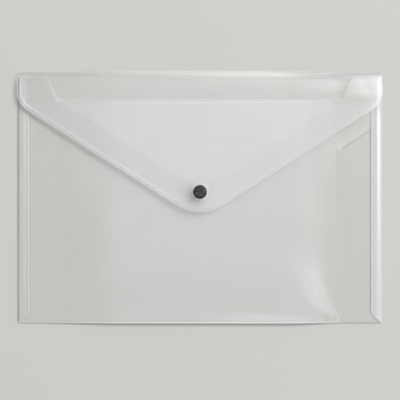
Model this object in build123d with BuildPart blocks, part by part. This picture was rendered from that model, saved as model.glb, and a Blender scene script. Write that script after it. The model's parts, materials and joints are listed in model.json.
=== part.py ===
from build123d import *
import os
from math import asin, atan2, cos, degrees, hypot, sin

# Document wallet of one folded clear sheet, closed by a press stud, lying on its back.
# Millimetres: X along the long side, Y from the bottom fold to the rolled top, Z up from the table.
# The origin is on the table under the middle of the wallet.

# The sheet and the outline of the closed wallet
sheet = 0.4
wallet_width = 333.0
wallet_height = 230.0
pocket_depth = 4.4

# The front panel: a recess at the mouth between two ears, and a raised middle with a crease round it
recess_depth = 24.7
ear_drop = 5.0
ear_foot = 36.5
ear_tip = 27.5
recess_corner_radius = 6.0
ear_corner_radius = 3.0
crease_rise = 0.5
crease_bottom = 3.0
raised_side = 74.0
raised_bottom = 56.0

# The side tabs, folded from the back panel over the edges of the front panel
tab_width = 9.6
tab_chamfer = 8.0
tab_end_gap = 1.4

# The rolled top between the two creases that the flap opens on
roll_wall = 0.9
flap_fold_rise = 0.2
crease_clearance = 0.05

# The flap: drops are measured from the top of the closed wallet to the sharp corners of its outline
flap_side_drop = 29.0
flap_point_drop = 135.3
flap_corner_radius = 20.0
flap_tip_radius = 39.0

# The press stud
stud_to_point = 25.6
cap_diameter = 12.4
cap_height = 1.3
cap_edge_radius = 0.8
backing_height = 1.1
backing_edge_radius = 0.6
flange_diameter = 10.6
flange_height = 0.6
flange_edge_radius = 0.2
post_diameter = 2.0
post_clearance = 0.05
rivet_diameter = 3.2
rivet_height = 0.4
socket_diameter = 7.8
socket_depth = 2.2
socket_lip = 0.4
bore_diameter = 4.7
groove_depth = 0.25
knob_diameter = 4.3
knob_neck_diameter = 3.8
knob_neck_height = 0.3
knob_edge_radius = 0.3
snap_clearance = 0.3
rivet_seat_clearance = 0.1

# Edges and folds of the closed wallet
half_sheet = sheet / 2
half_width = wallet_width / 2
top_y = wallet_height / 2
bottom_y = -top_y
seam_layers = 3
side_fold_radius = seam_layers * sheet / 2
side_fold_x = half_width - side_fold_radius
bottom_fold_y = bottom_y + sheet
tab_inner_x = half_width - tab_width
tab_z = (seam_layers - 1) * sheet
front_z = sheet
front_top_z = front_z + pocket_depth + sheet
mouth_y = top_y - recess_depth
ear_top_y = top_y - ear_drop

# The stud's axis, and the middle of the flap's sheet there
stud_y = top_y - flap_point_drop + stud_to_point
closed_gap = flange_height + snap_clearance + socket_depth
flap_stud_z = front_top_z + closed_gap + half_sheet

# The roll is a quarter round that the flap leaves as a tangent towards the stud
crease_y = top_y - half_sheet
lower_crease_z = half_sheet
crease_end = half_sheet + crease_clearance
roll_radius = front_top_z + flap_fold_rise - lower_crease_z - roll_wall
roll_y = crease_y - roll_radius
roll_z = lower_crease_z + roll_wall
flap_run = roll_y - stud_y
flap_rise = flap_stud_z - roll_z
flap_tilt = atan2(flap_rise, flap_run) - asin(roll_radius / hypot(flap_run, flap_rise))
upper_crease_y = roll_y + roll_radius * sin(flap_tilt)
upper_crease_z = roll_z + roll_radius * cos(flap_tilt)

# The flap lies along the negative y of its own plane, which starts at the upper crease
flap_plane = Plane(
    origin=(0, upper_crease_y, upper_crease_z),
    x_dir=(1, 0, 0),
    z_dir=(0, sin(flap_tilt), cos(flap_tilt)),
)
stud_reach = flap_run * cos(flap_tilt) + flap_rise * sin(flap_tilt)
point_reach = stud_reach + stud_to_point
side_reach = (upper_crease_y - top_y + flap_side_drop) / cos(flap_tilt)
flap_stud_plane = Plane(
    origin=flap_plane.from_local_coords(Vector(0, -stud_reach, 0)),
    x_dir=flap_plane.x_dir,
    z_dir=flap_plane.z_dir,
)
flap_top_plane = flap_stud_plane.offset(half_sheet)
flap_under_plane = flap_stud_plane.offset(-half_sheet)
front_top_plane = Plane(origin=(0, stud_y, front_top_z))
front_under_plane = front_top_plane.offset(-sheet)

# Radii of the press stud
post_radius = post_diameter / 2
post_hole_radius = post_radius + post_clearance
rivet_radius = rivet_diameter / 2
rivet_seat_radius = rivet_radius + rivet_seat_clearance
flange_radius = flange_diameter / 2
bore_radius = bore_diameter / 2
groove_radius = bore_radius + groove_depth
knob_height = closed_gap - flange_height - rivet_height - snap_clearance


# Back panel, with a round edge at the lower crease
with BuildPart() as back_panel:
    with BuildSketch(Plane.YZ):
        with BuildLine():
            Line((bottom_fold_y, half_sheet), (crease_y, half_sheet))
        trace(line_width=sheet)
        with Locations((crease_y, lower_crease_z)):
            Circle(half_sheet)
    extrude(amount=side_fold_x, both=True)
back_panel.part.label = "back_panel"


# Front panel: flat along its seams, raised in the middle in two steps, and open at the mouth
mouth_outline = [
    (side_fold_x, bottom_fold_y),
    (side_fold_x, ear_top_y),
    (half_width - ear_tip, ear_top_y),
    (half_width - ear_foot, mouth_y),
    (ear_foot - half_width, mouth_y),
    (ear_tip - half_width, ear_top_y),
    (-side_fold_x, ear_top_y),
    (-side_fold_x, bottom_fold_y),
]
raised_steps = [
    (0, half_width - tab_width, bottom_fold_y),
    (crease_rise, half_width - ear_foot, bottom_y + crease_bottom),
    (pocket_depth, half_width - raised_side, bottom_y + raised_bottom),
]
with BuildPart() as front_panel:
    with BuildSketch(Plane.XY.offset(front_z)) as front_outline:
        with BuildLine():
            Polyline(mouth_outline, close=True)
        make_face()
        mouth_corners = front_outline.vertices().filter_by_position(Axis.Y, mouth_y, mouth_y)
        fillet(mouth_corners, radius=recess_corner_radius)
        ear_corners = front_outline.vertices().filter_by_position(Axis.Y, ear_top_y, ear_top_y)
        fillet(ear_corners.sort_by(Axis.X)[1:-1], radius=ear_corner_radius)
    extrude(amount=sheet)
    for rise, half, low_y in raised_steps:
        with BuildSketch(Plane.XY.offset(front_z + sheet + rise)):
            with Locations((0, low_y)):
                Rectangle(half * 2, top_y - low_y, align=(Align.CENTER, Align.MIN))
    loft(ruled=True)
    for rise, half, low_y in raised_steps:
        with BuildSketch(Plane.XY.offset(front_z + rise)):
            with Locations((0, low_y)):
                Rectangle(half * 2, top_y - low_y, align=(Align.CENTER, Align.MIN))
    loft(ruled=True, mode=Mode.SUBTRACT)
    extrude(front_outline.sketch, amount=pocket_depth + sheet, mode=Mode.INTERSECT)
    with Locations(front_top_plane):
        Hole(radius=post_hole_radius)
front_panel.part.label = "front_panel"


# Bottom fold, where the back panel turns into the front panel
with BuildPart() as bottom_fold:
    with BuildSketch(Plane.YZ):
        with Locations((bottom_fold_y, sheet)):
            Circle(sheet)
            Rectangle(sheet, sheet * 2, align=(Align.MIN, Align.CENTER), mode=Mode.SUBTRACT)
    extrude(amount=side_fold_x, both=True)
bottom_fold.part.label = "bottom_fold"


# Side tabs: each turns round the edge of the front panel and lies flat on it
tab_bottom_y = bottom_y + tab_end_gap
with BuildPart() as right_tab:
    with BuildSketch(Plane.XZ.offset(-ear_top_y)):
        with BuildLine():
            CenterArc((side_fold_x, side_fold_radius), side_fold_radius - half_sheet, -90, 180)
            Line((side_fold_x, tab_z + half_sheet), (tab_inner_x, tab_z + half_sheet))
        trace(line_width=sheet)
    extrude(amount=ear_top_y - tab_bottom_y)
    chamfer(right_tab.edges().filter_by(Axis.Z).group_by(Axis.X)[0], length=tab_chamfer)
right_tab.part.label = "right_tab"

with BuildPart() as left_tab:
    mirror(right_tab.part, about=Plane.YZ)
left_tab.part.label = "left_tab"


# Rolled top, from the lower crease up and over to the round edge at the upper crease
with BuildPart() as top_roll:
    with BuildSketch(Plane.YZ):
        with BuildLine():
            Line((crease_y, lower_crease_z + crease_end), (crease_y, roll_z))
            CenterArc((roll_y, roll_z), roll_radius, 0, 90 - degrees(flap_tilt))
        trace(line_width=sheet)
        with Locations((upper_crease_y, upper_crease_z)):
            Circle(half_sheet)
    extrude(amount=half_width, both=True)
top_roll.part.label = "top_roll"


# Flap: straight sides, two long diagonals and a round tip
with BuildPart() as flap:
    with BuildSketch(flap_plane.offset(-half_sheet)) as flap_outline:
        with BuildLine():
            Polyline(
                (half_width, -crease_end),
                (half_width, -side_reach),
                (0, -point_reach),
                (-half_width, -side_reach),
                (-half_width, -crease_end),
                close=True,
            )
        make_face()
        flap_corners = flap_outline.vertices().sort_by(Axis.Y)
        fillet(flap_corners[0], radius=flap_tip_radius)
        side_corners = flap_outline.vertices().filter_by_position(Axis.Y, -side_reach, -side_reach)
        fillet(side_corners, radius=flap_corner_radius)
        with Locations((0, -stud_reach)):
            Circle(post_hole_radius, mode=Mode.SUBTRACT)
    extrude(amount=sheet)
flap.part.label = "flap"


# Cap on the flap, with its post riveted over in the socket
with BuildPart() as flap_cap:
    with BuildSketch(flap_top_plane):
        Circle(cap_diameter / 2)
    extrude(amount=cap_height)
    fillet(flap_cap.faces().sort_by(Axis.Z)[-1].edges(), radius=cap_edge_radius)
    with BuildSketch(flap_top_plane):
        Circle(post_radius)
    extrude(amount=-(sheet + flange_height))
    with BuildSketch(flap_under_plane.offset(-flange_height)):
        Circle(rivet_radius)
    extrude(amount=-rivet_height)
flap_cap.part.label = "flap_cap"


# Socket under the flap: a flange and a ring with a lip and a groove round its bore
with BuildPart() as flap_socket:
    with BuildSketch(flap_under_plane):
        Circle(flange_radius)
    extrude(amount=-flange_height)
    with BuildSketch(flap_under_plane):
        Circle(socket_diameter / 2)
    extrude(amount=-socket_depth)
    with BuildSketch(flap_under_plane.offset(-flange_height)):
        Circle(bore_radius)
    extrude(amount=flange_height - socket_depth, mode=Mode.SUBTRACT)
    with BuildSketch(flap_under_plane.offset(-flange_height)):
        Circle(groove_radius)
    extrude(amount=flange_height + socket_lip - socket_depth, mode=Mode.SUBTRACT)
    with BuildSketch(flap_under_plane):
        Circle(post_hole_radius)
    extrude(amount=-flange_height, mode=Mode.SUBTRACT)
flap_socket.part.label = "flap_socket"


# Stud on the front panel: a flange and a hollow knob on a neck
with BuildPart() as front_stud:
    with BuildSketch(front_top_plane):
        Circle(flange_radius)
    extrude(amount=flange_height)
    fillet(front_stud.faces().sort_by(Axis.Z)[-1].edges(), radius=flange_edge_radius)
    with BuildSketch(front_top_plane.offset(flange_height)):
        Circle(knob_neck_diameter / 2)
    extrude(amount=knob_neck_height)
    with BuildSketch(front_top_plane.offset(flange_height + knob_neck_height)):
        Circle(knob_diameter / 2)
    extrude(amount=knob_height - knob_neck_height)
    fillet(front_stud.faces().sort_by(Axis.Z)[-1].edges(), radius=knob_edge_radius)
    with BuildSketch(front_top_plane.offset(flange_height)):
        Circle(rivet_seat_radius)
    extrude(amount=knob_height, mode=Mode.SUBTRACT)
    with BuildSketch(front_top_plane):
        Circle(post_hole_radius)
    extrude(amount=flange_height, mode=Mode.SUBTRACT)
front_stud.part.label = "front_stud"


# Backing cap inside the pocket, with its post riveted over in the stud
with BuildPart() as backing_cap:
    with BuildSketch(front_under_plane):
        Circle(cap_diameter / 2)
    extrude(amount=-backing_height)
    fillet(backing_cap.faces().sort_by(Axis.Z)[0].edges(), radius=backing_edge_radius)
    with BuildSketch(front_under_plane):
        Circle(post_radius)
    extrude(amount=sheet + flange_height)
    with BuildSketch(front_top_plane.offset(flange_height)):
        Circle(rivet_radius)
    extrude(amount=rivet_height)
backing_cap.part.label = "backing_cap"


print("flap tilt, degrees:", round(degrees(flap_tilt), 3))
print("lower crease y, z:", round(crease_y, 3), round(lower_crease_z, 3))
print("upper crease y, z:", round(upper_crease_y, 3), round(upper_crease_z, 3))
print("stud y:", round(stud_y, 3), "front top z:", round(front_top_z, 3))

os.makedirs("parts", exist_ok=True)
pieces = [
    back_panel,
    front_panel,
    bottom_fold,
    left_tab,
    right_tab,
    top_roll,
    flap,
    flap_cap,
    flap_socket,
    front_stud,
    backing_cap,
]
for piece in pieces:
    export_step(piece.part, f"parts/{piece.part.label}.step")
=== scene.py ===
# %% [markdown]
# # A clear document wallet
# The wallet is one sheet of frosted clear plastic, cut, creased and folded into an envelope, with a pointed
# flap that a dark press stud holds down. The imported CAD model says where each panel, crease and stud is.
# This lesson dresses it: thin curved sheets take the place of the flat panels, and node materials give them
# their finish.

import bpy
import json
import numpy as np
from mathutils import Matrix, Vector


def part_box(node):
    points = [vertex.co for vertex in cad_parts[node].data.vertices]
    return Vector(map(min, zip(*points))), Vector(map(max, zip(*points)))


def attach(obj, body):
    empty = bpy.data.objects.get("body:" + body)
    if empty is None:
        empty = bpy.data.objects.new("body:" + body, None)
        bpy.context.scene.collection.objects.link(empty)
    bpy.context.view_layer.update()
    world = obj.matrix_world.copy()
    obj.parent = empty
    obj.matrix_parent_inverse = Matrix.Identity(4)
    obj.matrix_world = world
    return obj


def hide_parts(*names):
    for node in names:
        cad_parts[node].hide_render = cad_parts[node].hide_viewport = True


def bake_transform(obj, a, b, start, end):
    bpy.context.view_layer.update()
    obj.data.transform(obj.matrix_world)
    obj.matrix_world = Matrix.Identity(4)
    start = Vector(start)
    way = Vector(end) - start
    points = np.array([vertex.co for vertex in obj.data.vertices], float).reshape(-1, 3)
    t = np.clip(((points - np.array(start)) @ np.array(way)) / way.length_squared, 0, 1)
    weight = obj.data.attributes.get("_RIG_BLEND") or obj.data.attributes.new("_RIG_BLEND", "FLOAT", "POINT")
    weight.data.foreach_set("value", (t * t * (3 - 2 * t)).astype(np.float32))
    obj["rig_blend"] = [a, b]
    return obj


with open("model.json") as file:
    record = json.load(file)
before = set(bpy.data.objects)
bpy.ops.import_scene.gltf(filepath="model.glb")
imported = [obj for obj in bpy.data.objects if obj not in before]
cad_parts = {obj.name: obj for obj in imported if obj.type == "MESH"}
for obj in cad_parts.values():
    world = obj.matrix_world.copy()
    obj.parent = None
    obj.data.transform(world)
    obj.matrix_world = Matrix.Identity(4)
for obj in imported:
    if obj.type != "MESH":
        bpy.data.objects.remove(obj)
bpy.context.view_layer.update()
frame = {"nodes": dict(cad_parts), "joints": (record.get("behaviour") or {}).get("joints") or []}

# %% [markdown]
# ## Sizes from the frame
# Every panel is built in the frame of the CAD model. Sums are in millimetres, and a finished mesh is scaled
# to Blender's metres. Sizes come from the boxes of the CAD nodes and from the two hinge axes, so the looks
# follow the model. The ears beside the mouth are slanted and round, which a box doesn't say, so their sizes
# are written here.

# %% Measure the CAD nodes
import math

import bmesh
import bpy
from mathutils import Matrix, Vector

MM = 0.001


def box_mm(node):
    """The two corners of a CAD node's box, in millimetres."""
    return [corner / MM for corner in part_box(node)]


front_low, front_high = box_mm("front_panel")
tab_low, tab_high = box_mm("right_tab")
back_low, back_high = box_mm("back_panel")

sheet = back_high.z - back_low.z
half_sheet = sheet / 2
half_width = box_mm("flap")[1].x
top_y = box_mm("top_roll")[1].y
seam_x = front_high.x
bottom_y = front_low.y
ear_top_y = front_high.y
raised_z = front_high.z - half_sheet
tab_edge = half_width - tab_low.x
stud_y = sum(corner.y for corner in box_mm("front_stud")) / 2
hinge = {joint["name"]: Vector(joint["pos_m"]) / MM for joint in frame["joints"]}
lower_crease = hinge["lower_crease"]
upper_crease = hinge["upper_crease"]
print("sheet", round(sheet, 2), "mm, stud at y", round(stud_y, 1), "mm")

# %% Outline of the mouth
recess_depth = 24.7
recess_radius = 6
ear_foot = 36.5
ear_tip = 27.5
ear_radius = 3

mouth_y = top_y - recess_depth
ear_foot_x = half_width - ear_foot
ear_tip_x = half_width - ear_tip
print("mouth at y", round(mouth_y, 1), "mm and", round(2 * ear_foot_x, 1), "mm wide")

# %% [markdown]
# ## Camera
# The camera looks straight down from three quarters of a metre. At the table one pixel is 0.918 mm, which
# gives the width of the picture, and with the height that gives the lens. A ray crosses many clear faces on
# its way down, so it is allowed many transparent bounces.

# %% Camera
scene = bpy.context.scene
scene.view_settings.view_transform = "Standard"
scene.cycles.transparent_max_bounces = 48

PIXELS = 400
pixel_size = 0.918 * MM
camera_height = 0.75
middle_pixel_y = 197.75

camera_data = bpy.data.cameras.new("camera")
camera_data.sensor_width = 36
camera_data.lens = camera_data.sensor_width * camera_height / (PIXELS * pixel_size)
camera = bpy.data.objects.new("camera", camera_data)
camera.location = (0, (middle_pixel_y - PIXELS / 2) * pixel_size, camera_height)
scene.collection.objects.link(camera)
scene.camera = camera
print("lens", round(camera_data.lens, 1), "mm")

# %% [markdown]
# ## Helpers for nodes
# A material is a tree of nodes joined by links. These helpers add one node each. An input is either a
# value, which is set on the socket, or the output of another node, which is linked to it, so a chain of
# nodes reads like a sum.

# %% Helpers for nodes
def node_material(name):
    """A new material, with its node tree and its Principled shader."""
    material = bpy.data.materials.new(name)
    material.use_nodes = True
    return material, material.node_tree, material.node_tree.nodes["Principled BSDF"]


def feed(tree, node, inputs):
    """Links an input to a socket, or sets it to a value."""
    for name, value in inputs.items():
        if isinstance(value, bpy.types.NodeSocket):
            tree.links.new(value, node.inputs[name])
        else:
            node.inputs[name].default_value = value


def add_node(tree, kind, inputs=None, **settings):
    """One node with its settings and inputs."""
    node = tree.nodes.new(kind)
    for key, value in settings.items():
        setattr(node, key, value)
    feed(tree, node, inputs or {})
    return node


def attribute(tree, name):
    return add_node(tree, "ShaderNodeAttribute", attribute_name=name).outputs["Fac"]


def maths(tree, operation, a, b):
    return add_node(tree, "ShaderNodeMath", {0: a, 1: b}, operation=operation).outputs["Value"]


def spread(tree, share, low, high, clamp=True):
    """The share from 0 to 1 spread between two limits."""
    inputs = {"Value": share, "To Min": low, "To Max": high}
    return add_node(tree, "ShaderNodeMapRange", inputs, clamp=clamp).outputs["Result"]


def mixed(tree, share, a, b):
    """A value that goes from a to b with the share."""
    inputs = {"Factor": share, "A": a, "B": b}
    return add_node(tree, "ShaderNodeMix", inputs, data_type="FLOAT").outputs["Result"]


def mixed_colour(tree, share, a, b):
    """The same for colours, whose sockets go by number."""
    return add_node(tree, "ShaderNodeMix", {0: share, 6: a, 7: b}, data_type="RGBA").outputs[2]


def two_tone(tree, share, colours, places=(0.0, 1.0)):
    """A colour ramp between two colours at two places."""
    node = add_node(tree, "ShaderNodeValToRGB", {"Fac": share})
    for element, colour, place in zip(node.color_ramp.elements, colours, places):
        element.position = place
        element.color = (*colour, 1)
    return node.outputs["Color"]


# %% [markdown]
# ## Light and floor
# A large soft lamp stands at the upper right, with a broader one above it, so edges that face that side
# shine and shadows fall to the lower left. A pale world fills the rest, so that the colour of a level
# surface renders about as it is written.

# %% Lamps and world
def soft_lamp(name, turn, height, far, width, depth, share):
    """An area lamp aimed at the origin, which gives a level surface this share of full light."""
    turn, height = math.radians(turn), math.radians(height)
    level = math.cos(height) * far
    place = Vector((level * math.cos(turn), level * math.sin(turn), math.sin(height) * far))
    data = bpy.data.lights.new(name, "AREA")
    data.shape = "RECTANGLE"
    data.size, data.size_y = width, depth
    data.energy = share * (math.pi * far) ** 2 / math.sin(height)
    lamp = bpy.data.objects.new(name, data)
    lamp.location = place
    lamp.rotation_euler = (-place).to_track_quat("-Z", "Y").to_euler()
    scene.collection.objects.link(lamp)
    print(name, round(data.energy), "W")


soft_lamp("key_lamp", turn=45, height=47, far=5.5, width=1.8, depth=1.8, share=0.232)
soft_lamp("top_lamp", turn=45, height=57, far=5.5, width=5.8, depth=1.1, share=0.303)

world = bpy.data.worlds.new("studio")
world.use_nodes = True
feed(world.node_tree, world.node_tree.nodes["Background"], {"Color": (1, 1, 1, 1), "Strength": 0.505})
scene.world = world

# %% Floor
FLOOR_COLOURS = ((0.615, 0.615, 0.585), (0.635, 0.635, 0.605))
floor_drop = 0.15 * MM

floor_material, floor_tree, floor_shader = node_material("floor")
floor_grain = add_node(floor_tree, "ShaderNodeTexNoise", {"Scale": 6.0, "Detail": 3.0})
floor_colour = two_tone(floor_tree, floor_grain.outputs["Fac"], FLOOR_COLOURS)
feed(floor_tree, floor_shader, {"Base Color": floor_colour, "Roughness": 0.9})

bpy.ops.mesh.primitive_plane_add(size=6, location=(0, 0, -floor_drop))
floor = bpy.context.object
floor.name = "floor"
floor.data.materials.append(floor_material)

# %% [markdown]
# ## Shared grain
# The frosted sheet and the moulded stud share one node group for their grain, each with its own scales. It
# puts out a height for a bump and a slow cloudy mask for small colour changes.

# %% Grain node group
def grain_group():
    """Two noises in object coordinates, a fine one and a slow one."""
    group = bpy.data.node_groups.new("surface_grain", "ShaderNodeTree")
    for name in ("Grain Scale", "Cloud Scale"):
        group.interface.new_socket(name, in_out="INPUT", socket_type="NodeSocketFloat")
    for name in ("Height", "Cloud"):
        group.interface.new_socket(name, in_out="OUTPUT", socket_type="NodeSocketFloat")
    scales = group.nodes.new("NodeGroupInput").outputs
    result = group.nodes.new("NodeGroupOutput")
    place = add_node(group, "ShaderNodeTexCoord").outputs["Object"]
    fine = {"Vector": place, "Scale": scales["Grain Scale"], "Detail": 2.0, "Roughness": 0.6}
    slow = {"Vector": place, "Scale": scales["Cloud Scale"], "Detail": 3.0, "Roughness": 0.5}
    for output, inputs in (("Height", fine), ("Cloud", slow)):
        feed(group, result, {output: add_node(group, "ShaderNodeTexNoise", inputs).outputs["Fac"]})
    return group


surface_grain = grain_group()


def place_grain(tree, fine, slow):
    """The grain group with its two scales."""
    scales = {"Grain Scale": fine, "Cloud Scale": slow}
    return add_node(tree, "ShaderNodeGroup", scales, node_tree=surface_grain)


def grain_bump(tree, grain, strength, distance):
    """A bump from the fine grain, as a normal."""
    inputs = {"Height": grain.outputs["Height"], "Strength": strength, "Distance": distance}
    return add_node(tree, "ShaderNodeBump", inputs).outputs["Normal"]


# %% [markdown]
# ## Frosted clear sheet
# Frosted plastic lets most light straight through. Where it touches what is under it, it looks clear, and
# where it stands off, its grain scatters the light into a pale haze. Mesh attributes say where that is:
#
# - haze sets the alpha, so each face of a sheet adds a thin veil. Haze scatters light forwards, so it casts
#   less shadow than it hides: Light Path lowers the alpha for all rays but the camera's. In some places more
#   haze is painted highlight towards the lamps, and less haze is painted shade.
# - rim marks cut edges and tight folds, which are whiter and denser.
# - edge deepens the shadow of a cut edge, which bends light away from what lies beside it.
# - shade is painted shade: it darkens folds that face away from the lamps, thin lines along a crease and
#   the mouth's cut edge, the creased ends of the roll, and the dimple's side away from the lamps.
# - joined marks the line where two pieces are one sheet, so that their end walls stay clear.
#
# A sheet seen edge-on has more plastic in the line of sight, which Layer Weight gives. A high index keeps
# the gloss alive under the low alpha.

# %% Clear sheet material
CLEAR_ALPHA, HAZY_ALPHA, RIM_ALPHA, WALL_ALPHA = 0.075, 0.2, 0.85, 0.9
HAZE_SHADOW = 0.35
EDGE_SHADOW = 0.8
SHEET_TINTS = ((0.87, 0.88, 0.87), (0.952, 0.956, 0.978))
# The dark grey that painted shade mixes into the sheet's colour.
PAINTED_SHADE_COLOUR = (0.2, 0.2, 0.19, 1)


def clear_sheet_material():
    material, tree, shader = node_material("clear_sheet")
    grain = place_grain(tree, fine=900, slow=28)
    cloud = grain.outputs["Cloud"]
    haze, rim, edge, shade, joined = (attribute(tree, n) for n in ("haze", "rim", "edge", "shade", "joined"))
    camera_ray = add_node(tree, "ShaderNodeLightPath").outputs["Is Camera Ray"]
    facing = add_node(tree, "ShaderNodeLayerWeight", {"Blend": 0.5}).outputs["Facing"]

    tint = two_tone(tree, maths(tree, "MAXIMUM", haze, rim), SHEET_TINTS)
    patchy = maths(tree, "MULTIPLY", haze, spread(tree, cloud, 0.88, 1.12))
    veil = maths(tree, "MULTIPLY", patchy, spread(tree, camera_ray, HAZE_SHADOW, 1.0))
    alpha = spread(tree, veil, CLEAR_ALPHA, HAZY_ALPHA, clamp=False)
    alpha = mixed(tree, rim, alpha, RIM_ALPHA)
    shadow = maths(tree, "MULTIPLY", edge, maths(tree, "SUBTRACT", 1.0, camera_ray))
    alpha = mixed(tree, shadow, alpha, EDGE_SHADOW)
    walls = maths(tree, "MULTIPLY", maths(tree, "POWER", facing, 3.0), maths(tree, "SUBTRACT", 1.0, joined))
    alpha = mixed(tree, walls, alpha, WALL_ALPHA)

    feed(tree, shader, {
        # Painted shade: where the shade attribute is set, the colour goes towards a dark grey.
        "Base Color": mixed_colour(tree, shade, tint, PAINTED_SHADE_COLOUR),
        "Alpha": alpha,
        "IOR": 3.4,
        "Roughness": spread(tree, cloud, 0.27, 0.33),
        "Normal": grain_bump(tree, grain, strength=0.05, distance=0.05 * MM),
    })
    return material


clear_sheet = clear_sheet_material()

# %% [markdown]
# ## Dark stud
# The stud is moulded in dark grey plastic with a fine spark-eroded grain, which a bump from the same group
# gives. The cloudy mask makes small dark and pale specks, and painted shade darkens the shoulder on the
# side away from the lamps.

# %% Dark stud material
STUD_TINTS = ((0.004, 0.005, 0.004), (0.096, 0.103, 0.097))
# The near black that painted shade on the cap's shoulder mixes in.
STUD_PAINTED_SHADE = (0.002, 0.002, 0.002, 1)


def dark_stud_material():
    material, tree, shader = node_material("dark_stud")
    grain = place_grain(tree, fine=1500, slow=1000)
    cloud = grain.outputs["Cloud"]
    tint = two_tone(tree, cloud, STUD_TINTS, places=(0.47, 0.53))
    feed(tree, shader, {
        "Base Color": mixed_colour(tree, attribute(tree, "shade"), tint, STUD_PAINTED_SHADE),
        "Specular IOR Level": 0.15,
        "Roughness": spread(tree, cloud, 0.45, 0.6),
        "Normal": grain_bump(tree, grain, strength=0.4, distance=0.1 * MM),
    })
    return material


dark_stud = dark_stud_material()

# %% [markdown]
# ## Outlines
# A die cuts the sheet along straight lines joined by arcs. The helper walks round the corners, rounds each
# by its radius, and notes the way in from the edge at every point, so that rings can run along the edge.

# %% Rounded outline
STRAIGHT_STEP = 6
ARC_STEP = math.radians(6)


def rounded_outline(corners):
    """Points and inward normals round counter-clockwise corners (x, y, radius)."""
    points = []
    count = len(corners)
    for i, (x, y, radius) in enumerate(corners):
        here = Vector((x, y))
        back = (Vector(corners[i - 1][:2]) - here).normalized()
        ahead = (Vector(corners[(i + 1) % count][:2]) - here).normalized()
        n_in = Vector((back.y, -back.x))
        n_out = Vector((-ahead.y, ahead.x))
        if radius == 0:
            points.append((here, (n_in + n_out) / (1 + n_in.dot(n_out))))
            continue
        turn = n_in.angle_signed(n_out)
        reach = radius * math.tan(abs(turn) / 2)
        side = -1 if turn > 0 else 1
        centre = here + back * reach + n_in * radius * side
        steps = max(2, math.ceil(abs(turn) / ARC_STEP))
        for k in range(steps + 1):
            spoke = Matrix.Rotation(-turn * k / steps, 2) @ n_in
            points.append((centre - spoke * radius * side, spoke))
    return fill_straights(points)


def fill_straights(points):
    """Adds points along the long straight runs of an outline."""
    filled = []
    for (a, n_a), (b, _) in zip(points, points[1:] + points[:1]):
        filled.append((a, n_a))
        steps = math.floor((b - a).length / STRAIGHT_STEP)
        run = (b - a).normalized()
        straight = Vector((-run.y, run.x))
        filled.extend((a.lerp(b, k / (steps + 1)), straight) for k in range(1, steps + 1))
    return filled


# %% [markdown]
# ## Round holes
# The posts of the stud go through the flap and the front panel. Round each post a square of the grid is
# replaced by rings down to a small round hole, which also give points for a dimple.

# %% Round hole in a sheet
HOLE_HALF_SQUARE = 12
HOLE_RINGS = (10.5, 9.4, 8.6, 7.9, 7.3, 6.8, 6.3, 5.6, 4.4, 2.8, 1.05)
HAIR = 1e-3


def bridge(bm, outer, inner):
    """A closed band of four-sided faces between two rings of points."""
    for quad in zip(outer, outer[1:] + outer[:1], inner[1:] + inner[:1], inner):
        bm.faces.new(quad)


def hole_square(centre):
    """Grid lines round the square of a hole and through it."""
    return [[round(middle + HOLE_HALF_SQUARE * k / 4, 4) for k in range(-4, 5)] for middle in centre]


def open_round_hole(bm, centre):
    """Fills the square with rings round the hole."""
    def offset(co):
        return Vector((co.x - centre[0], co.y - centre[1]))

    def reach(co):
        return max(map(abs, offset(co)))

    inside = [f for f in bm.faces if reach(f.calc_center_median()) < HOLE_HALF_SQUARE - HAIR]
    bmesh.ops.delete(bm, geom=inside, context="FACES")
    border = [v for v in bm.verts if v.is_boundary and reach(v.co) < HOLE_HALF_SQUARE + HAIR]
    border.sort(key=lambda v: math.atan2(*reversed(offset(v.co))))
    outer = border
    for radius in HOLE_RINGS:
        inner = []
        for vert in border:
            spoke = offset(vert.co).normalized() * radius
            inner.append(bm.verts.new((centre[0] + spoke.x, centre[1] + spoke.y, 0)))
        bridge(bm, outer, inner)
        outer = inner


# %% [markdown]
# ## Sheets as meshes
# A panel starts as rings of points along its outline, for a crisp rim, and one large face inside them.
# Cutting that face along a grid gives points, which are lifted to the height of the sheet, and a Solidify
# modifier gives the thickness. What the material needs to know is kept in float layers of the points, which
# become mesh attributes.

# %% Finished sheets
def smooth_mesh(mesh, material, sharp_angle):
    """Smooth faces with sharp edges above an angle, in one material."""
    mesh.polygons.foreach_set("use_smooth", [True] * len(mesh.polygons))
    mesh.set_sharp_from_angle(angle=math.radians(sharp_angle))
    mesh.materials.clear()
    mesh.materials.append(material)


def finish_sheet(name, bm, body):
    """Turns a single-layer bmesh in millimetres into a thick, smooth sheet object in metres."""
    bmesh.ops.recalc_face_normals(bm, faces=bm.faces)
    bmesh.ops.scale(bm, vec=(MM, MM, MM), verts=bm.verts)
    mesh = bpy.data.meshes.new(name)
    bm.to_mesh(mesh)
    bm.free()
    thin = bpy.data.objects.new(name + "_thin", mesh)
    scene.collection.objects.link(thin)
    solidify = thin.modifiers.new("thickness", "SOLIDIFY")
    solidify.thickness = sheet * MM
    solidify.offset = 0
    solidify.use_even_offset = True
    ready = thin.evaluated_get(bpy.context.evaluated_depsgraph_get())
    thick = bpy.data.meshes.new_from_object(ready)
    bpy.data.objects.remove(thin)
    thick.name = name
    smooth_mesh(thick, clear_sheet, sharp_angle=40)
    piece = bpy.data.objects.new(name, thick)
    scene.collection.objects.link(piece)
    if body:
        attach(piece, body)
    print(name, len(thick.vertices), "points")
    return piece


# %% Sheet builder
RIM_RINGS = (0, 0.45, 0.75)
CUT_RIM = 0.37
CUT_SNAP = 1e-4
LAYERS = ("rim", "edge", "haze", "shade", "joined")


def everywhere(value):
    """A function of place that is the same everywhere."""
    return lambda x, y, inset=0: value


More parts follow.
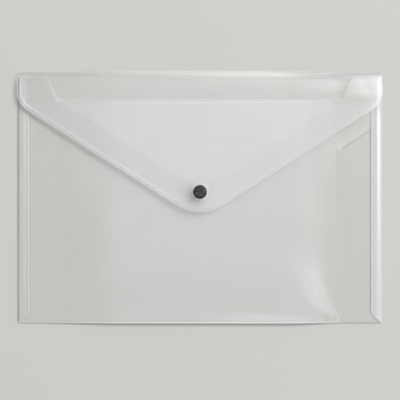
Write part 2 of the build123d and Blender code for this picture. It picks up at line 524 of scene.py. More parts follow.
# The dark entry of a look is painted shade, which the shade attribute carries to the material.
PLAIN_LOOK = {
    "haze": everywhere(0.0), "rim_share": everywhere(1.0), "edge_share": everywhere(1.0),
    "dense": everywhere(0.0), "dark": everywhere(0.0), "joined": everywhere(0.0),
}


def grid_lines(low, high, cell, extra):
    """Even and extra places to cut between two limits."""
    count = max(1, round((high - low) / cell))
    return sorted({round(low + (high - low) * k / count, 4) for k in range(1, count)} | set(extra))


def cut_face(bm, face, planes):
    """Cuts a face by upright planes (point, normal) in plan."""
    geometry = [face, *face.edges, *face.verts]
    for point, normal in planes:
        result = bmesh.ops.bisect_plane(
            bm, geom=geometry, dist=CUT_SNAP, plane_co=(*point, 0), plane_no=(*normal, 0),
        )
        geometry = result["geom"]


def outline_sheet(name, outline, lift, cell, rings=RIM_RINGS, hole=None, body="pocket", bead=None,
                  cuts=((), ()), slants=(), **look):
    """A sheet inside an outline, lifted to lift(x, y), with an optional round hole and bead."""
    look = {**PLAIN_LOOK, **look}
    bm = bmesh.new()
    rim, edge, haze, shade, joined, inset = map(bm.verts.layers.float.new, LAYERS + ("inset",))
    loops = []
    for depth in rings:
        loop = [bm.verts.new((*(point + normal * depth), 0)) for point, normal in outline]
        for vert in loop:
            x, y = vert.co.xy
            vert[rim] = CUT_RIM * look["rim_share"](x, y) if depth <= rings[1] else 0.0
            vert[edge] = look["edge_share"](x, y) * (1 - depth / rings[-1]) ** 2
            vert[inset] = depth
        loops.append(loop)
    for outer, inner in zip(loops, loops[1:]):
        bridge(bm, outer, inner)
    middle = bm.faces.new(loops[-1])
    around = hole_square(hole) if hole else ((), ())
    xs, ys = zip(*(point for point, _ in outline))
    x_lines = grid_lines(min(xs), max(xs), cell, [*around[0], *cuts[0]])
    y_lines = grid_lines(min(ys), max(ys), cell, [*around[1], *cuts[1]])
    grid = [((x, 0), (1, 0)) for x in x_lines] + [((0, y), (0, 1)) for y in y_lines]
    cut_face(bm, middle, [*grid, *slants])
    if hole:
        open_round_hole(bm, hole)
    for vert in bm.verts:
        x, y = vert.co.xy
        vert.co.z = lift(x, y) + (bead(vert[inset], x, y) if bead else 0.0)
        vert[haze] = look["haze"](x, y, vert[inset])
        vert[rim] = max(vert[rim], look["dense"](x, y))
        vert[shade] = look["dark"](x, y)
        vert[joined] = look["joined"](x, y)
    return finish_sheet(name, bm, body)


# %% [markdown]
# ## Back panel
# The back lies flat on the table. It stops a little short of the lower crease, because the rolled top
# carries on from there and bends. All its edges run on into folds, so it has no white rim.

# %% Back panel
crease_margin = 1.5
back_end_y = lower_crease.y - crease_margin
back_plan = ((-seam_x, bottom_y), (seam_x, bottom_y), (seam_x, back_end_y), (-seam_x, back_end_y))
back_corners = [(x, y, 0) for x, y in back_plan]
back_panel = outline_sheet(
    "back_panel_sheet", rounded_outline(back_corners), everywhere(half_sheet), cell=24,
    rim_share=everywhere(0.0), edge_share=everywhere(0.0),
)
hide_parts("back_panel")

# %% [markdown]
# ## Soft steps
# The front panel and the flap are height fields, and so is their haze. Both are sums of a few soft shapes:
# steps, ramps, humps and spots. A step or ramp runs from its first limit, where it is 0, to its second,
# where it is 1. The first may be the greater, and then it falls instead of rising.

# %% Soft steps
def ramp(value, off, on):
    """0 at one limit, 1 at the other, and straight between them."""
    return min(1.0, max(0.0, (value - off) / (on - off)))


def step(value, off, on):
    """The same with an S-curve between them."""
    t = ramp(value, off, on)
    return t * t * (3 - 2 * t)


def tent(value, width):
    """1 at zero, and straight down to 0 at the width."""
    return max(0.0, 1 - abs(value) / width)


def hump(value, width):
    """1 at zero, and a bell of this width round it."""
    return math.exp(-(value / width) ** 2)


def spot(x, y, centre, size):
    """1 in the middle of an oval, and a bell round it."""
    return hump(x - centre[0], size[0]) * hump(y - centre[1], size[1])


def soft_least(a, b, softness):
    """The lesser of two values, rounded where they meet."""
    h = max(softness - abs(a - b), 0.0) / softness
    return min(a, b) - h * h * softness / 4


def soft_positive(value, softness):
    """The value above zero, and zero below, with a round bend."""
    return (value + math.sqrt(value ** 2 + softness ** 2)) / 2


# %% [markdown]
# ## Shape of the front panel
# The front lies flat along the tabs, springs up from the bottom fold and rises in the middle, as over a
# pocket that has been filled before. The lesser of two slopes, rounded where they meet, gives its hips. The
# stud pulls at it, so a soft ridge runs from the stud to each corner of the mouth. Beside the mouth the ears
# lift and slope down towards the top, and a buckle runs down the right hip.

# %% Ridges from the stud to the mouth's corners
stud_point = Vector((0, stud_y))
ridge_line = (Vector((ear_foot_x, mouth_y)) - stud_point).normalized()
ridge_normal = Vector((ridge_line.y, -ridge_line.x))
ridge_softness = 1.6


def across_ridge(x, y):
    """How far a place lies outside the ridge on its side."""
    return (Vector((abs(x), y)) - stud_point).dot(ridge_normal)


def beyond_ridge(x, y):
    """The same, but zero inside, and rounded at the ridge."""
    return soft_positive(across_ridge(x, y), ridge_softness)


# %% Buckle on the right hip
buckle_top = Vector((106.5, -62))
buckle_run = Vector((21, -46)).normalized()
buckle_slope = 0.13
BUCKLE_WIDTH = (19, 2)


def buckle_place(x, y):
    """Place along the buckle, width of its right flank, and place across it."""
    place = Vector((x, y)) - buckle_top
    along = place.dot(buckle_run)
    wide, narrow = BUCKLE_WIDTH
    width = wide + (narrow - wide) * ramp(along, 27, 56)
    return along, width, width + place.dot(Vector((-buckle_run.y, buckle_run.x)))


def buckle(x, y):
    """A soft ridge, long on its left and short on its right."""
    along, width, across = buckle_place(x, y)
    flank = soft_positive(across, 5) - soft_positive(across - width, 4)
    height = buckle_slope * (width * step(across, -45, 2) - flank)
    return height * step(along, -30, 12)


# %% Hill, ears and bottom fold
raised_x = half_width - 74
raised_y = -top_y + 56
fold_spring = 3
fold_puff_height = 3.5
fold_puff_length = 22
ear_lift = 3.4
ear_peak_y = mouth_y + 3
EAR_SLOPE_OUT, EAR_SLOPE_UP = 0.09, 0.12


def front_hill(x, y):
    """The share of the pocket's full height."""
    rise_x = (ear_foot_x - abs(x)) / (ear_foot_x - raised_x)
    rise_y = (y + top_y - fold_spring) / (raised_y + top_y - fold_spring)
    return max(0.0, soft_least(soft_least(rise_x, rise_y, 0.35), 1.0, 0.25))


def ear(x, y):
    """The ears' lift, which slopes down outwards and towards the top."""
    side = abs(x)
    outward = side - ear_foot_x
    plane = ear_lift - EAR_SLOPE_OUT * outward - EAR_SLOPE_UP * max(0.0, y - ear_peak_y)
    height = soft_positive(min(plane, ear_lift), 0.3)
    height *= step(side - tab_low.x, 2, -4)
    return height * step(y, 45 + 0.6 * outward, ear_peak_y) * step(side, raised_x, ear_foot_x)


def bottom_puff(x, y):
    """How far the springy bottom fold stands open."""
    opened = step(x, 130, 75) if x > 0 else step(-x, tab_low.x, 65)
    return fold_puff_height * opened * ramp(y, bottom_y + fold_puff_length, bottom_y) ** 2


# %% Height of the front panel
flat_z = sheet + half_sheet
crease_rise = 0.5
valley_depth = 0.15
mouth_dip = 0.02
front_ridge_bend = 0.04


def front_lift(x, y):
    """The hill, less what the stud pulls down, and the small forms."""
    side = abs(x)
    hill = front_hill(x, y)
    apron = step(tab_low.x - side, 0, ear_foot - tab_edge) * step(y - bottom_y, 0, fold_spring)
    valley = valley_depth * hump(side - ear_foot_x, 3.5)
    pulled = mouth_dip * soft_positive(y - stud_y, 6)
    pulled += front_ridge_bend * beyond_ridge(x, y) * step(y - stud_y, -30, 20)
    height = hill * (raised_z - flat_z - crease_rise) - pulled * step(hill, 0.2, 0.9) + apron * crease_rise
    return flat_z + height - valley * apron + ear(x, y) + buckle(x, y) + bottom_puff(x, y)


# %% [markdown]
# ## Bead along the cut edges
# The die presses a shallow bead into the sheet just inside an edge. On the front panel it runs along the
# mouth.

# %% Bead along the cut edges
bead_inset = 3.0
bead_height = 0.2
bead_width = 0.7
mouth_bead_shift = 0.7
BEAD_RINGS = (0, 0.45, 0.75, 1.5, 2.0, 2.4, 2.7, 3.0, 3.3, 3.6, 4.0, 4.6)


def bead(inset):
    """The height of the bead at a distance in from an edge."""
    return bead_height * hump(inset - bead_inset, bead_width)


def mouth_bead(inset, x, y):
    """The bead along the mouth, which ends before the ears."""
    ends = step(abs(x), ear_foot_x - recess_radius, ear_foot_x - 3 * recess_radius)
    return bead(mouth_y - y - mouth_bead_shift) * ends


# %% [markdown]
# ## Finish of the front panel
# Flexing whitens a clear sheet along its creases, and where it stands off the back it looks hazy. So the
# haze follows the shape: the raised middle, the lifted right ear, the buckle and the springy bottom fold. On
# the right ear, the buckle's flank and the bottom fold it is also painted highlight towards the lamps.
# A crease beside the right tab turns off to the side, with a painted dark line of shade along it and haze
# above it.

# %% Crease beside the right tab
crease_corner = Vector((127, 43))
crease_run = Vector((31, 20.2)).normalized()
crease_normal = Vector((crease_run.y, -crease_run.x))
crease_line = 1.2


def crease_slant(x, y):
    """How far a place lies below the crease's slanted end, and 1 along it."""
    place = Vector((x, y)) - crease_corner
    return place.dot(crease_normal), step(place.dot(crease_run), -3, 6)


def crease_painted_shade(x, y):
    """A thin line of painted shade that turns off to the right."""
    below, slanted = crease_slant(x, y)
    upright = 0.6 * tent(x - crease_corner.x, 3) * (y < crease_corner.y) * step(y, -65, 25)
    return max(tent(below, crease_line) * slanted, upright)


def crease_haze(x, y):
    """Haze along the slanted end, most of it above."""
    below, slanted = crease_slant(x, y)
    side = 0.15 if below > 0 else 1.0 - 0.5 * step(x, 138, 152)
    return slanted * (side * hump(below, 9) + 0.5 * tent(below, crease_line))


# %% Haze of the small forms
def buckle_haze_and_highlight(x, y):
    """The stretched flank of the buckle, haze and painted highlight towards the lamps."""
    along, width, across = buckle_place(x, y)
    flank = step(across, -5, 2) * step(across - width, 2.8, -4.5)
    flank *= 1 - 0.3 * ramp(across, 0.3 * width, width)
    strength = (0.5 + 0.55 * step(along, 0, 40)) * step(along, -14, 12)
    return strength * flank * step(along, 60, 53)


def bottom_highlight_and_shade(x, y):
    """Painted highlight on the bottom fold on the right, under a line down to the buckle's foot."""
    top = -105.6 - 6.4 * ramp(x, 46, 122)
    along = step(x, -10, 70) * step(x, 128, 124)
    # Painted shade: less haze along a line just above the highlight.
    hollow_shade = 0.35 * hump(y - top - 4, 3) * step(x, 95, 65)
    return along * (0.7 * step(y - top, 1.2, -1.4) - hollow_shade)


def left_slant(x, y):
    """Paler haze along the slant of the left ear and the start of the ridge."""
    foot, tip = Vector((-ear_foot_x, mouth_y)), Vector((-ear_tip_x, ear_top_y))
    run = (tip - foot).normalized()
    place = Vector((x, y)) - foot
    inward = place.dot(Vector((-run.y, run.x)))
    slant = 1.9 * hump(inward, 3.5) * step(place.dot(run), -8, 0)
    ridge = 0.9 * hump(across_ridge(x, y), 3) * step(place.length, 26, 2) * (y < mouth_y)
    return (slant + ridge) * (x < 0)


def ear_haze_and_highlight(x, y):
    """Right ear: haze and painted highlight towards the lamps, whitest along its top, with clearer spots."""
    outer = 0.2 * step(x, 142, 150) * step(y - mouth_y, -2, 7)
    foot = 0.25 * step(x, 112, 128) * step(y, 72, 84) * step(y, 96, 90)
    top = 0.9 * step(x - ear_tip_x, 2, 14) * step(y - ear_top_y, -8, -3)
    tip = 0.4 * step(x, 141, 147) * step(x, 157, 153) * step(y, 106.5, 108.5)
    clearer = 0.15 * spot(x, y, (146, 100), (5, 5)) + 0.4 * spot(x, y, (136, 98.5), (5, 5))
    return outer - foot + top + tip - clearer


# %% Haze of the front panel
def middle_haze(x, y):
    """The raised middle: more inside the ridges, less at the bottom and on the right."""
    high = step(y, -20, 45)
    if x > 0:
        raised = step(x, 121 + 6 * high, 104 + 12 * high)
    else:
        raised = step(-x, 104 + 26 * high, 68 - 8 * high)
    inside = 0.5 * step(across_ridge(x, y), 1.5, -1.5) * step(y - stud_y, 0, 5)
    low = 0.33 * step(y, -60, -105) * step(x, 80, 40)
    hip = 0.3 * step(x, 75, 105) * (1 - high) * step(y, -90, -60)
    right = 0.2 * step(x, 0, 60) * step(y, -60, -20)
    return raised * (1 + inside) * (1 - low - hip - right)


def front_haze(x, y, inset=0):
    """All of it, with the line of the mouth's bead and a pale patch on the left."""
    line = 0.8 * mouth_bead(inset, x, y) / bead_height * (1 - 0.8 * step(x, 45, 90))
    patch = 0.35 * spot(x, y, (-101, 21), (9, 14))
    edges = left_slant(x, y) + crease_haze(x, y) + buckle_haze_and_highlight(x, y) + bottom_highlight_and_shade(x, y)
    return middle_haze(x, y) + ear_haze_and_highlight(x, y) + patch + line + edges


# %% Edges of the front panel
def mouth_edge(x, y):
    """1 along the mouth and the ears' slants, and 0 along the other edges."""
    return step(y - mouth_y, -10, -5) * step(abs(x) - ear_tip_x, 5, 0)


def mouth_rim(x, y):
    """The white cut edge, which fades up the ears and along the right slant."""
    slant = step(x, ear_foot_x - 2 * recess_radius, ear_foot_x)
    return (1 - max(0.8 * step(y - ear_top_y, -4, 0), 0.9 * slant)) * mouth_edge(x, y)


def front_dense(x, y):
    """The white line along the bottom fold, partly painted highlight, and a short pleat at its right end."""
    above = y - bottom_y
    pleat = 0.45 * tent(x - 127.6 + 0.3 * above, 1) * step(above, 11, 6)
    fold = 0.8 * step(above, 1.4, 0.7) * step(x, 129, 126) * (1 - 0.35 * step(-x, 20, 150))
    return max(pleat, fold)


def front_painted_shade(x, y):
    """Painted shade along the crease beside the right tab, and along the mouth's cut edge."""
    mouth = 0.5 * (y > mouth_y - 0.2) * (abs(x) < ear_foot_x - recess_radius)
    return max(mouth, crease_painted_shade(x, y))


# %% [markdown]
# ## Front panel
# The grid is finer where a thin line runs: along the crease, inside the mouth and above the bottom fold.
# Cuts along those lines keep them crisp with far fewer points than a fine grid all over.

# %% Front panel
PANEL_GRID = 3.2
front_corners = [
    (-seam_x, bottom_y, 0),
    (seam_x, bottom_y, 0),
    (seam_x, ear_top_y, 0),
    (ear_tip_x, ear_top_y, ear_radius),
    (ear_foot_x, mouth_y, recess_radius),
    (-ear_foot_x, mouth_y, recess_radius),
    (-ear_tip_x, ear_top_y, ear_radius),
    (-seam_x, ear_top_y, 0),
]
crease_cuts = [(crease_corner + crease_normal * k * 0.55, crease_normal) for k in range(-2, 3)]
upright_cuts = [round(123 + 0.7 * k, 4) for k in range(10)]
mouth_cuts = [round(mouth_y - r, 4) for r in BEAD_RINGS[2:]]
fold_cuts = [round(bottom_y + r, 4) for r in (1.1, 1.5, 2.2, 3, 4, 5, 6, 7, 8, 9, 10)]
front_panel = outline_sheet(
    "front_panel_sheet", rounded_outline(front_corners), front_lift, cell=PANEL_GRID, hole=(0, stud_y),
    bead=mouth_bead, cuts=(upright_cuts, mouth_cuts + fold_cuts), slants=crease_cuts, haze=front_haze,
    rim_share=mouth_rim, edge_share=mouth_edge, dense=front_dense, dark=front_painted_shade,
)
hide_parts("front_panel")

# %% [markdown]
# ## Folded strips
# The side tabs, the bottom fold and the rolled top are strips of the sheet with one cross-section. Each is
# a net of points: the section gives the rows, and the columns run along the fold.

# %% Strip builder
def strip(name, rows, place, columns, rim_rows=(), body="pocket", **look):
    """A net of rows by columns, where place(row, share along) gives each point."""
    look = {**PLAIN_LOOK, **look}
    bm = bmesh.new()
    rim, edge, haze, shade, joined = map(bm.verts.layers.float.new, LAYERS)
    net = []
    for i, row in enumerate(rows):
        line = []
        for share in columns:
            vert = bm.verts.new(place(row, share))
            x, y = vert.co.xy
            at_edge = i in rim_rows or share in (columns[0], columns[-1])
            vert[rim] = max(CUT_RIM * look["rim_share"](x, y) if at_edge else 0.0, look["dense"](x, y))
            vert[edge] = look["edge_share"](x, y) if at_edge else 0.0
            vert[haze] = look["haze"](x, y)
            vert[shade] = look["dark"](x, y)
            vert[joined] = look["joined"](x, y)
            line.append(vert)
        net.append(line)
    for line, following in zip(net, net[1:]):
        for quad in zip(line, line[1:], following[1:], following):
            bm.faces.new(quad)
    return finish_sheet(name, bm, body)


def even_shares(count, end):
    """Shares from 0 to 1 with a narrow cell at each end."""
    return [0.0, end, *[k / count for k in range(1, count)], 1 - end, 1.0]


# %% [markdown]
# ## Side tabs
# Each tab comes from the back panel, turns round the front panel's edge and is welded flat on it. Its ends
# are cut at a slant. A springy sheet never folds dead flat, so the fold stays round and stands a little
# above the tab.

# %% Section of a side tab
tab_z = tab_high.z - half_sheet
FOLD_TOP = {"left": 2.5, "right": 1.7}
FOLD_NOSE_Z = {"left": 1.6, "right": 0.35}
fold_under = 0.8
fold_round = 4.5
nose_share = 0.3
UNDER_STEPS, ROUND_STEPS = 6, 16


def tab_section(side):
    """Points (distance in from the outer edge, height) from the back panel to the tab's edge."""
    top, nose_z = FOLD_TOP[side], FOLD_NOSE_Z[side]
    section = []
    for k in range(UNDER_STEPS):
        angle = math.pi / 2 * k / UNDER_STEPS
        inward = half_sheet + fold_under * (1 - math.sin(angle))
        section.append((inward, nose_z - (nose_z - half_sheet) * math.cos(angle)))
    for k in range(ROUND_STEPS + 1):
        share = (k / ROUND_STEPS) ** 1.7
        rise = (1 - nose_share) * (1 - (1 - share) ** 1.5) + nose_share * (1 - (1 - share) ** 12)
        section.append((half_sheet + fold_round * share, nose_z + (top - nose_z) * rise))
    start = section[-1][0]
    for share in (0.2, 0.4, 0.6, 0.75, 0.84, 1.0):
        drop = (top - tab_z) * (1.4 - 0.4 * share) * share
        section.append((start + (tab_edge - start) * share, top - drop))
    return section


# %% Finish of the side tabs
def under_flap(y):
    """1 where the hazy flap lies on the tab and hides it."""
    return step(y, 72, 84)


def tab_share(right, left):
    """A share for each tab's cut edge, as far as the flap doesn't hide it."""
    return lambda x, y: (right if x > 0 else left) * (1 - under_flap(y))


tab_rim = tab_share(right=1.4, left=2.0)
tab_shadow = tab_share(right=0.5, left=1.0)


def tab_dense(x, y):
    """The tight nose of the fold."""
    inward = half_width - abs(x)
    return step(inward, 1.6, 0.7) if x > 0 else step(inward, 0.6, 0.2)


def tab_painted_shade(x, y):
    """Painted shade on the left fold, which faces away from the lamps."""
    return step(half_width + x, 0.6, 0.2)


def tab_haze_and_highlight(x, y):
    """Haze on both folds, and painted highlight on the right one, whitest towards its nose."""
    if x < 0:
        return 0.45 - 0.4 * under_flap(y)
    return (1.8 + ramp(half_width - x, 7.5, 1)) * (1 - 0.6 * under_flap(y))


# %% Side tabs
tab_chamfer = 8

for side, sign in (("right", 1), ("left", -1)):
    def tab_place(row, share, sign=sign):
        inward, height = row
        slant = max(0.0, inward - (tab_edge - tab_chamfer))
        low, high = tab_low.y + slant, tab_high.y - slant
        return sign * (half_width - inward), low + (high - low) * share, height

    tab_rows = tab_section(side)
    tab = strip(
        side + "_tab_sheet", tab_rows, tab_place, even_shares(40, end=0.002),
        rim_rows=(len(tab_rows) - 2, len(tab_rows) - 1), haze=tab_haze_and_highlight, rim_share=tab_rim,
        edge_share=tab_shadow, dense=tab_dense, dark=tab_painted_shade,
    )
    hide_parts(side + "_tab")

# %% [markdown]
# ## Bottom fold
# Here the back turns up into the front. It is a small half round strip, which stands as high as the springy
# front panel does at that place.

# %% Bottom fold
FOLD_STEPS = 8


def bottom_place(row, share):
    """A point on the half round, at an angle from the back."""
    x = seam_x * (2 * share - 1)
    front_z = front_lift(x, bottom_y)
    middle, half = (front_z + half_sheet) / 2, (front_z - half_sheet) / 2
    return x, bottom_y - half_sheet * math.sin(row), middle - half * math.cos(row)


bottom_rows = [math.pi * k / FOLD_STEPS for k in range(FOLD_STEPS + 1)]
# Painted shade: the whole fold is darkened, as it faces away from the lamps.
bottom_fold = strip(
    "bottom_fold_sheet", bottom_rows, bottom_place, even_shares(40, end=0.001), haze=everywhere(0.6),
    dense=everywhere(1.0), dark=everywhere(0.6),
)
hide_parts("bottom_fold")

# %% [markdown]
# ## Rolled top
# From the lower crease the sheet stands up and rolls over to the flap. At its ends the roll is crisp, as it
# was creased. In the middle it springs out and stays round. So the strip has two sections and goes smoothly
# from one to the other. It crosses the lower crease, so it blends between the pocket and the roll.

# %% Heights of the roll and the flap
flap_tilt = math.tan(math.radians(1.687))
roll_wall = 0.9
roll_radius = upper_crease.z - lower_crease.z - roll_wall
roll_centre_y = lower_crease.y - roll_radius
roll_centre_z = lower_crease.z + roll_wall
roll_end = math.radians(72)
flap_start_y = roll_centre_y + roll_radius * math.cos(roll_end)
facet_share = 0.65
round_start_y = upper_crease.y - 13
round_length = lower_crease.y + 1.6 - round_start_y
round_height = 2.2
nose_drop = 0.25


def middle_share(x):
    """1 in the middle of the roll and 0 at its ends."""
    return step(abs(x), 150, 50)


def flap_plane(y):
    """The height of the flat flap."""
    return upper_crease.z + (upper_crease.y - y) * flap_tilt


def facet(y, arc_z):
    """An arc's height drawn towards the straight facet between the creases."""
    share = (lower_crease.y - y) / (lower_crease.y - upper_crease.y)
    straight = roll_centre_z + roll_radius * share
    return arc_z + (straight - arc_z) * facet_share


def crisp_top(y):
    """Height of the creased ends: a plane, then a facet that is hardly round."""
    if y > upper_crease.y:
        return facet(y, roll_centre_z + math.sqrt(roll_radius ** 2 - (y - roll_centre_y) ** 2))
    return flap_plane(y)


def round_top(y):
    """Height of the springy middle: a plane that bends down more and more, to a tight nose."""
    along = ramp(y, round_start_y, round_start_y + round_length)
    return flap_plane(y) - round_height * along ** 2.4 - nose_drop * along ** 40


# %% Sections of the roll
bend_radius = 0.5
BEND_STEPS, ROLL_STEPS, RISE_STEPS = 6, 30, 8


def roll_section():
    """Points ((y, z) at the ends, (y, z) in the middle) from the back to the flap."""
    section = [((back_end_y, lower_crease.z),) * 2]
    for k in range(BEND_STEPS + 1):
        angle = math.pi / 2 * k / BEND_STEPS
        y = lower_crease.y - bend_radius * (1 - math.sin(angle))
        section.append(((y, lower_crease.z + bend_radius * (1 - math.cos(angle))),) * 2)
    foot_z = lower_crease.z + bend_radius
    nose_y = round_start_y + round_length
    nose_z = round_top(nose_y)
    last_angle = math.acos((flap_start_y - round_start_y) / round_length)
    for k in range(1, ROLL_STEPS + 1):
        angle = roll_end * k / ROLL_STEPS
        y = roll_centre_y + roll_radius * math.cos(angle)
        crisp = (y, facet(y, roll_centre_z + roll_radius * math.sin(angle)))
        if k <= RISE_STEPS:
            share = k / RISE_STEPS
            y = lower_crease.y + (nose_y - lower_crease.y) * step(share, 0, 1)
            rounded = (y, foot_z + (nose_z - foot_z) * share)
        else:
            turned = (k - RISE_STEPS) / (ROLL_STEPS - RISE_STEPS)
            y = round_start_y + round_length * math.cos(last_angle * turned)
            rounded = (y, round_top(y))
        section.append((crisp, rounded))
    return section


def roll_place(row, share):
    """A point between the crisp section and the round one."""
    x = half_width * (2 * share - 1)
    (crisp_y, crisp_z), (round_y, round_z) = row
    middle = middle_share(x)
    return x, crisp_y + (round_y - crisp_y) * middle, crisp_z + (round_z - crisp_z) * middle


# %% Finish of the roll
def roll_haze(x, y):
    """Less on the left beside the flap, and more on the right inside the crease as painted highlight."""
    clearer = 0.3 * hump(x + 65, 38) * step(y - flap_start_y, 1.2, 0)
    line = 0.35 * spot(x, y, (25, 112.1), (35, 0.9))
    line += 0.8 * step(x, 130, 142) * hump(y - 112, 0.45)
    inner = step(x, 60, 140) * (1 - 0.6 * step(x, 134, 150))
    return 0.7 - clearer + line + inner * step(y - top_y, -1.6, -2.4)


def roll_dense_shade(x, y):
    """The tight crease at both ends, in painted shade: outside on the left, further in on the right."""
    if x < 0:
        return 0.4 * (1 - middle_share(x)) * step(y - top_y, -1.6, -0.8)
    line_y = top_y - 2.9 + 1.6 * ramp(x, 103, 138)
    strength = (0.15 + 0.4 * step(x, 103, 138)) * step(x, 88, 108)
    return strength * hump(y - line_y, 0.6)


def meets_flap(x, y):
    """1 on the line where the roll and the flap are one sheet."""
    return float(abs(y - flap_start_y) < 0.02)


# %% Rolled top
def metres(*place):
    """A place in metres, for the frame."""
    return tuple(c * MM for c in place)


# The creased ends of the roll take the same line as rim and as painted shade.
roll = strip(
    "top_roll_sheet", roll_section(), roll_place, even_shares(60, end=0.0012), body=None, haze=roll_haze,
    dense=roll_dense_shade, dark=roll_dense_shade, joined=meets_flap,
)
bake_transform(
    roll, "pocket", "roll",
    start=metres(0, lower_crease.y - 2 * bend_radius, lower_crease.z),
    end=metres(0, lower_crease.y, lower_crease.z + 1.2 * bend_radius),
)
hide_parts("top_roll")

# %% [markdown]
# ## Flap
# The flap leaves the roll, runs down to the stud and ends in a rounded point. The same shallow bead runs
# inside its free edge. Outside the ridges its wings bend down a little. The right side curls down and the
# left one up. It crosses the upper crease, so it blends between the roll and the lid.

# %% Shape of the flap
flap_side_y = top_y - 29
flap_point_y = top_y - 135.3
flap_corner_radius = 20
flap_tip_radius = 39
WING_BEND = {"left": 0.03, "right": 0.05}
CURL_DROP = {"left": -0.8, "right": 1.8}
curl_width = 14
dimple_radius = 7.4
dimple_width = 1.1
dimple_height = 0.25


def flap_lift(x, y):
    """The roll's own height, with the bent wings, the curled sides and the dimple."""
    z = crisp_top(y) + (round_top(y) - crisp_top(y)) * middle_share(x)
    from_stud = (Vector((x, y)) - stud_point).length
    side = "right" if x > 0 else "left"
    wing = WING_BEND[side] * beyond_ridge(x, y) * step(upper_crease.y - y, 0, 30)
    curl = CURL_DROP[side] * ramp(abs(x), half_width - curl_width, half_width) ** 1.4
    dimple = dimple_height * hump(from_stud - dimple_radius, dimple_width)
    return z - wing * step(from_stud, 8, 30) - curl + dimple


def flap_bead(inset, x, y):
    """The bead, which is pressed flat over the right tab."""
    return bead(inset) * step(upper_crease.y - y, 0, 6) * step(x, 145, 120)


# %% [markdown]
# ## Finish of the flap
# The flap is haziest below the mouth, where two layers lie together. Its cut edge is white and casts its
# shadow on the side away from the lamps. The cap presses a dimple into it, which has painted highlight on
# the side towards the lamps and painted shade on the side away from them. On the right, more haze is
# painted highlight, and a clearer spot beside the right ear is painted shade.

# %% Places on the flap
LEFT_RIDGE_NORMAL = Vector((-ridge_normal.x, ridge_normal.y))


def flap_seam(y):
    """1 on the flap and 0 where it runs on into the roll."""
    return step(upper_crease.y - y, 0, 3)


def off_tip(x, y):
    """0 at the flap's tip and 1 away from it."""
    return step(Vector((x, y - flap_point_y)).length, 20, 50)


def left_side(x):
    """1 along the flap's left side."""
    return step(-x, 145, 160)


def right_half(x):
    """1 on the right, which is the side of the lamps."""
    return step(x, -10, 30)


# %% Dimple round the cap
LAMP_SIDE = Vector((1, 1)).normalized()
DIMPLE_LIGHT = Vector((0.85, 0.53))


def around_stud(x, y, light):
    """The distance from the stud, and how far that side faces the light."""
    place = Vector((x, y)) - stud_point
    return place.length, place.normalized().dot(light)


def dimple_haze_and_highlight(x, y):
    """The pressed ring: haze all round, and painted highlight on the side of the lamps."""
    distance, facing = around_stud(x, y, LAMP_SIDE)
    return 2.2 * (0.55 + 0.45 * facing) * hump(distance - 6.9, 0.8)


def dimple_painted_shade(x, y):
    """Painted shade on the side of the dimple away from the lamps."""
    distance, facing = around_stud(x, y, DIMPLE_LIGHT)
    return 0.6 * max(0.0, -facing) * hump(distance - 8, 7.5)


# %% Haze of the flap
def flap_highlight_and_shade(x, y):
    """Painted highlight above the mouth, and painted shade as a clear spot beside the right ear."""
    patch = step(x, 78, 120) * step(x, 133, 123) * hump(y - 102.5, 6)
    return patch - 0.6 * spot(x, y, (130, 95), (4, 3.5))


def flap_lines(x, y, inset):
    """The bead, which fades at the tip and on the right, and a line inside the left side."""
    faded = (0.2 + 0.8 * off_tip(x, y)) * (1 - 0.75 * step(x, 20, 70))
    line = bead(inset) / bead_height * faded * (1 + left_side(x)) * step(upper_crease.y - y, 4, 10)
    from_side = half_width + x
    return line + 0.7 * step(from_side, 2.0, 2.8) * step(from_side, 8, 4.5)


def flap_joint(x, y):
    """The start of the flap: painted highlight at the right end, clearer along the middle."""
    joint = 0.5 * step(x, 125, 145) * step(x, 156, 148) * (1 - flap_seam(y))
    joint += (1.6 * ramp(x, 122, 152) - joint) * step(y, 110.7, 111.1)
    clearer = 0.42 * step(x, -125, -60) * step(x, 135, 110)
    clearer *= 1 - step(y, 110.2, 111.2) * step(x, -20, 20)
    return joint - clearer * step(upper_crease.y - y, 3.0, 2.2)


def flap_band(x, y):
    """The clearer wing outside the left ridge, which fades towards the corner."""
    place = Vector((x, y)) - stud_point
    band = 0.23 * step(place.dot(LEFT_RIDGE_NORMAL), -0.7, 0.7) * step(place.length, 5, 14)
    return band * (1 - 0.85 * step(-x, 85, 125)) * (x < 0) * (y > stud_y)


def flap_haze(x, y, inset):
    """All of it: more in the middle, below the mouth, and on the curled right side as painted highlight."""
    middle = 0.42 * step(abs(x), 135, 55)
    doubled = 0.55 * step(y - mouth_y, 0, -8)
    curled = 0.6 * ramp(x, half_width - curl_width, half_width) * step(y, 78, 96)
    curled *= 1 - 0.5 * step(y, 96, 108)
    spots = flap_highlight_and_shade(x, y) + dimple_haze_and_highlight(x, y)
    lines = flap_lines(x, y, inset) + flap_joint(x, y)
    return 0.24 + middle + doubled + curled + lines - flap_band(x, y) + spots


# %% Edges of the flap
def flap_rim(x, y):
    """The cut edge, whitest on the side away from the lamps, and fading at the tip."""
    side = 1 - 0.8 * right_half(x) + 0.8 * left_side(x)
    side -= 0.2 * step(x, 140, 155) * step(y, 92, 86)
    return flap_seam(y) * side * (0.5 + 0.5 * off_tip(x, y))


def flap_edge(x, y):
    """The shadow of the cut edge, nearly all of it on the side away from the lamps."""
    return flap_seam(y) * (1 - 0.97 * right_half(x) + left_side(x))


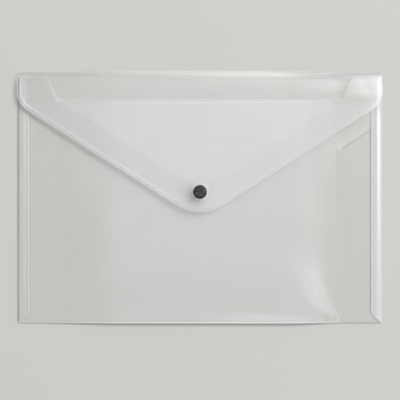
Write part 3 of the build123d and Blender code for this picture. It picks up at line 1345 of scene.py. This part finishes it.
# %% Flap
flap_corners = [
    (-half_width, flap_start_y, 0),
    (-half_width, flap_side_y, flap_corner_radius),
    (0, flap_point_y, flap_tip_radius),
    (half_width, flap_side_y, flap_corner_radius),
    (half_width, flap_start_y, 0),
]
ridge_cuts = [(stud_point + LEFT_RIDGE_NORMAL * k * 0.7, LEFT_RIDGE_NORMAL) for k in (-1, 0, 1)]
bend_cuts = [round(upper_crease.y + r, 4) for r in (-1.6, -0.8, -0.3, 0.0, 0.3, 0.7)]
flap = outline_sheet(
    "flap_sheet", rounded_outline(flap_corners), flap_lift, cell=PANEL_GRID, rings=BEAD_RINGS,
    hole=(0, stud_y), body=None, bead=flap_bead, cuts=((), bend_cuts), slants=ridge_cuts, haze=flap_haze,
    rim_share=flap_rim, edge_share=flap_edge, dark=dimple_painted_shade, joined=meets_flap,
)
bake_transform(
    flap, "roll", "lid",
    start=metres(0, upper_crease.y + 1, upper_crease.z),
    end=metres(0, upper_crease.y - 1, upper_crease.z),
)
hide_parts("flap")

# %% [markdown]
# ## Press stud
# Only the cap on the flap is seen from above. It is moulded in one with its post, so one profile, spun
# about its axis as on a lathe, makes both: a slightly domed top, a round shoulder, a flat underside, and the
# post with its riveted end. The hidden pieces keep the shape of the CAD nodes.

# %% Profile of the cap
cap_low, cap_high = box_mm("flap_cap")
cap_radius = (cap_high.x - cap_low.x) / 2
cap_height = 1.3
cap_dome = 0.3
shoulder = 1.7
shoulder_drop = 0.9
edge_break = 0.08
post_radius = 1.0
post_length = 1.0
rivet_radius = 1.6
rivet_height = 0.4
rivet_round = 0.15
DOME_STEPS, SHOULDER_STEPS = 6, 8


def cap_profile():
    """Points (radius, height above the flap) from the middle of the top to the end of the rivet."""
    flat = cap_radius - shoulder
    top = cap_height - cap_dome
    shares = [k / DOME_STEPS for k in range(DOME_STEPS)]
    profile = [(flat * share, cap_height - cap_dome * share ** 2) for share in shares]
    for k in range(SHOULDER_STEPS + 1):
        angle = math.pi / 2 * k / SHOULDER_STEPS
        profile.append((flat + shoulder * math.sin(angle), top - shoulder_drop * (1 - math.cos(angle))))
    end = -post_length - rivet_height
    return profile + [
        (cap_radius, edge_break), (cap_radius - edge_break, 0),
        (post_radius, 0), (post_radius, -post_length),
        (rivet_radius, -post_length), (rivet_radius, end + rivet_round), (rivet_radius - rivet_round, end),
        (0, end),
    ]


# %% Cap on the flap
LATHE_STEPS = 64

cap_bm = bmesh.new()
shoulder_painted_shade = cap_bm.verts.layers.float.new("shade")
line = [cap_bm.verts.new((radius, 0, height)) for radius, height in cap_profile()]
edges = [cap_bm.edges.new(pair) for pair in zip(line, line[1:])]
bmesh.ops.spin(
    cap_bm, geom=[*line, *edges], cent=(0, 0, 0), axis=(0, 0, 1), angle=2 * math.pi, steps=LATHE_STEPS,
    use_merge=True,
)
bmesh.ops.remove_doubles(cap_bm, verts=cap_bm.verts, dist=HAIR)
# Painted shade: the cap's shoulder is darkest on the side away from the lamps.
for vert in cap_bm.verts:
    radius = vert.co.xy.length
    facing = vert.co.xy.dot(LAMP_SIDE) / max(radius, post_radius)
    vert[shoulder_painted_shade] = (0.5 - 0.5 * facing) * step(radius, cap_radius - shoulder, cap_radius - 0.3 * shoulder)
bmesh.ops.recalc_face_normals(cap_bm, faces=cap_bm.faces)
lean = Matrix.Rotation(-math.atan(flap_tilt), 4, "X")
seat = Vector((0, stud_y, flap_plane(stud_y))) + lean @ Vector((0, 0, half_sheet))
cap_bm.transform(Matrix.Scale(MM, 4) @ Matrix.Translation(seat) @ lean)
cap_mesh = bpy.data.meshes.new("flap_cap_moulded")
cap_bm.to_mesh(cap_mesh)
cap_bm.free()
smooth_mesh(cap_mesh, dark_stud, sharp_angle=35)
cap = bpy.data.objects.new("flap_cap_moulded", cap_mesh)
scene.collection.objects.link(cap)
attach(cap, "lid")
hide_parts("flap_cap")
cap_top = max(vertex.co.z for vertex in cap_mesh.vertices)
print("cap top at", round(cap_top / MM, 2), "mm, in the CAD at", round(cap_high.z, 2), "mm")

# %% Hidden pieces of the stud
for name in ("flap_socket", "front_stud", "backing_cap"):
    node = frame["nodes"][name]
    node.data.materials.clear()
    node.data.materials.append(dark_stud)

# %% [markdown]
# ## Finish

# %% Finish
import json
